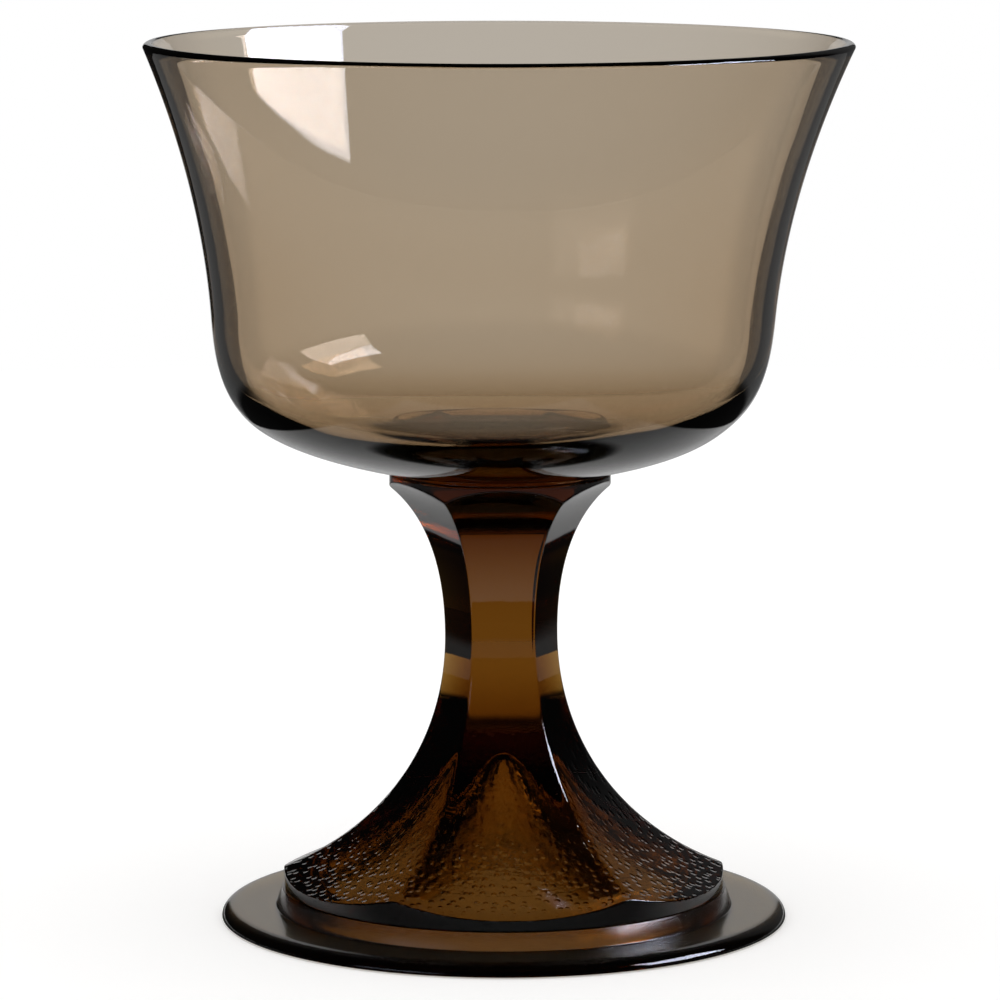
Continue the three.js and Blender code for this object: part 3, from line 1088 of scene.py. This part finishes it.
def pale_floor(studio, foot):
    """Pale floor. The glass sees a white sheet on it that is a little wider than the card and
    ends in front. Through the glass the floor is white at the sides, in front and from above too. Painted
    shade darkens it under and round the foot, and just in front of the foot where the glass mirrors it.
    Inside the hollow the floor is left unshaded, made brighter, and glows with painted light for rays
    through the glass."""
    material, wire = blank("pale_floor")
    through = wire.light("Is Transmission Ray")
    glossy = wire.light("Is Glossy Ray")
    eye = wire.light("Is Camera Ray")
    x, y = wire.add("ShaderNodeTexCoord", output="Object").parts()[:2]
    side = wire.math("ABSOLUTE", x)
    reach = wire.math("SQRT", x * x + y * y)
    turn = wire.math("ARCTAN2", side, y) * DEGREES
    facing = wire.add("ShaderNodeLayerWeight", None, {"Blend": 0.5}, output="Facing")

    across = side.ramp(studio.sheet_half + SOFT_EDGE, studio.sheet_half - 0.5 * SOFT_EDGE)
    sheet = across * y.ramp(-studio.sheet_front - SOFT_EDGE, -studio.sheet_front + SOFT_EDGE)
    elsewhere = wire.math("MAXIMUM", turn.ramp(*PALE_SIDES), facing.ramp(*STEEP_VIEW)) * through
    seen = wire.math("MAXIMUM", sheet, elsewhere)
    # Painted shadow: the floor is darker under the foot and for a few millimetres round it.
    shaded = (reach - foot.radius).ramp(*SHADE_RUN) * (1.0 - SHADE) + SHADE
    # Painted light: inside the hollow the floor is left unshaded and made brighter than elsewhere.
    hollow = reach.ramp(foot.hollow_mouth + HOLLOW_SOFT, foot.hollow_mouth - HOLLOW_SOFT)
    painted_shade_and_light = wire.math("MAXIMUM", shaded, hollow * HOLLOW_PAINTED_LIGHT)

    white = studio.sheet_level - y.ramp(*FADE_RUN) * FADE
    straight = seen * painted_shade_and_light * white + UNLIT
    # Painted shade in the glass's reflections of the floor: dim just in front of the foot, brighter further
    # out.
    behind = y.ramp(*BACK_RUN)
    before = (1.0 - behind) * NEAR_PAINTED_SHADE + y.ramp(*FRONT_RUN) * FRONT_LEVEL
    far = reach.ramp(*FAR_RUN) * FAR_LEVEL
    mirrored = sheet * painted_shade_and_light * (behind + before) * studio.sheet_mirrored + far + UNLIT
    inside = through * straight + (1.0 - through) * mirrored
    level = studio.floor_level - glossy * (studio.floor_level - inside)

    shader = wire.add("ShaderNodeBsdfDiffuse", None, {"Color": level.grey()})
    # Even emission that makes the floor white to the eye, plus a painted glow in the hollow for rays through
    # the glass.
    even_white_and_painted_glow = eye * EYE_LIFT + through * hollow * (HOLLOW_PAINTED_LIGHT * HOLLOW_PAINTED_GLOW)
    lift = wire.add("ShaderNodeEmission", None, {"Color": even_white_and_painted_glow.grey(), "Strength": 1.0})
    both = wire.add("ShaderNodeAddShader", None, {0: shader, 1: lift})
    wire.add("ShaderNodeOutputMaterial", None, {"Surface": both})
    return material


def opening(turn, rise, edges):
    """A box of turn and rise, lit inside its four soft edges."""
    left, right, bottom, top = edges
    return turn.ramp(*left) * turn.ramp(*right) * rise.ramp(*bottom) * rise.ramp(*top)


def light_world(wire, studio):
    """White to the eye and to the floor. Glass shows a dim room behind, a pale one at the sides and
    in front, and two windows, each a box of turn and rise in degrees from +Y."""
    through = wire.light("Is Transmission Ray")
    glossy = wire.light("Is Glossy Ray")
    spread = wire.light("Diffuse Depth").ramp(*SPREAD_LIGHT)
    x, y, z = wire.add("ShaderNodeTexCoord", output="Generated").parts()
    turn = wire.math("ARCTAN2", x, y) * DEGREES
    rise = wire.math("ARCSINE", z) * DEGREES
    aside = wire.math("ABSOLUTE", turn)
    pale = aside.ramp(*PALE_SIDES) * rise.ramp(*PALE_TOP) * through * PALE_LEVEL
    room = pale + opening(turn, rise, LIT_WALL) * WALL_LEVEL + ROOM_LEVEL
    shown = wire.math("MAXIMUM", glossy, through) * (1.0 - spread)
    main = opening(turn, rise, MAIN_WINDOW) * studio.main_light
    faint = opening(turn, rise, FAINT_WINDOW) * studio.faint_light
    level = 1.0 - shown + room * shown
    shade = wire.add("ShaderNodeBackground", None, {"Color": (1.0, 1.0, 1.0, 1.0), "Strength": level})
    daylight = {"Color": (*studio.window_tint, 1.0), "Strength": (main + faint) * shown}
    panes = wire.add("ShaderNodeBackground", None, daylight)
    both = wire.add("ShaderNodeAddShader", None, {0: shade, 1: panes})
    wire.add("ShaderNodeOutputWorld", None, {"Surface": both})


def set_camera(scene, studio):
    """Camera in front of the glass, looking down a little."""
    lens = bpy.data.cameras.new("camera")
    lens.lens = studio.camera_lens
    lens.sensor_width = 36.0
    lens.clip_start = 0.01
    camera = bpy.data.objects.new("camera", lens)
    camera.location = (0.0, -studio.camera_distance, studio.camera_height)
    camera.rotation_euler = (math.pi / 2 - studio.camera_pitch, 0.0, 0.0)
    scene.collection.objects.link(camera)
    scene.camera = camera


class SHERBET_OT_studio(bpy.types.Operator):
    """Set up the pale floor, the light and the camera"""

    bl_idname = "sherbet.studio"
    bl_label = "Set Up Studio"

    def execute(self, context):
        scene = context.scene
        studio = scene.sherbet_studio
        scene.view_settings.view_transform = "Standard"
        set_camera(scene, studio)

        world = bpy.data.worlds.new("studio")
        world.use_nodes = True
        world.node_tree.nodes.clear()
        scene.world = world
        light_world(Wire(world.node_tree), studio)

        floor = floor_disc(studio)
        floor.data.materials.append(pale_floor(studio, scene.sherbet_foot))
        card = card_behind(studio)
        card.data.materials.append(white_card(studio))
        card.visible_camera = False
        card.visible_diffuse = False
        card.visible_shadow = False
        return {"FINISHED"}


class SHERBET_PT_panel(bpy.types.Panel):
    """Lists the build steps and the sizes."""

    bl_idname = "SHERBET_PT_panel"
    bl_label = "Sherbet Glass"
    bl_space_type = "VIEW_3D"
    bl_region_type = "UI"
    bl_category = "Sherbet Glass"

    def draw(self, context):
        layout = self.layout
        for step in STEPS:
            layout.operator(step.bl_idname)
        for name in GROUPS:
            settings = getattr(context.scene, name)
            for key in settings.bl_rna.properties.keys():
                if key not in {"rna_type", "name"}:
                    layout.prop(settings, key)


STEPS = (SHERBET_OT_foot, SHERBET_OT_stem, SHERBET_OT_merese, SHERBET_OT_bowl, SHERBET_OT_studio)
GROUPS = {
    "sherbet_foot": FootSizes,
    "sherbet_stem": StemSizes,
    "sherbet_bowl": BowlSizes,
    "sherbet_looks": GlassLooks,
    "sherbet_studio": StudioSettings,
}


def register():
    for name, group in GROUPS.items():
        bpy.utils.register_class(group)
        setattr(bpy.types.Scene, name, bpy.props.PointerProperty(type=group))
    for step in STEPS:
        bpy.utils.register_class(step)
    bpy.utils.register_class(SHERBET_PT_panel)


def unregister():
    bpy.utils.unregister_class(SHERBET_PT_panel)
    for step in reversed(STEPS):
        bpy.utils.unregister_class(step)
    for name, group in GROUPS.items():
        delattr(bpy.types.Scene, name)
        bpy.utils.unregister_class(group)


def main():
    register()
    bpy.ops.sherbet.foot()
    bpy.ops.sherbet.stem()
    bpy.ops.sherbet.merese()
    bpy.ops.sherbet.bowl()
    bpy.ops.sherbet.studio()
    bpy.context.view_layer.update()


if __name__ == "__main__":
    main()
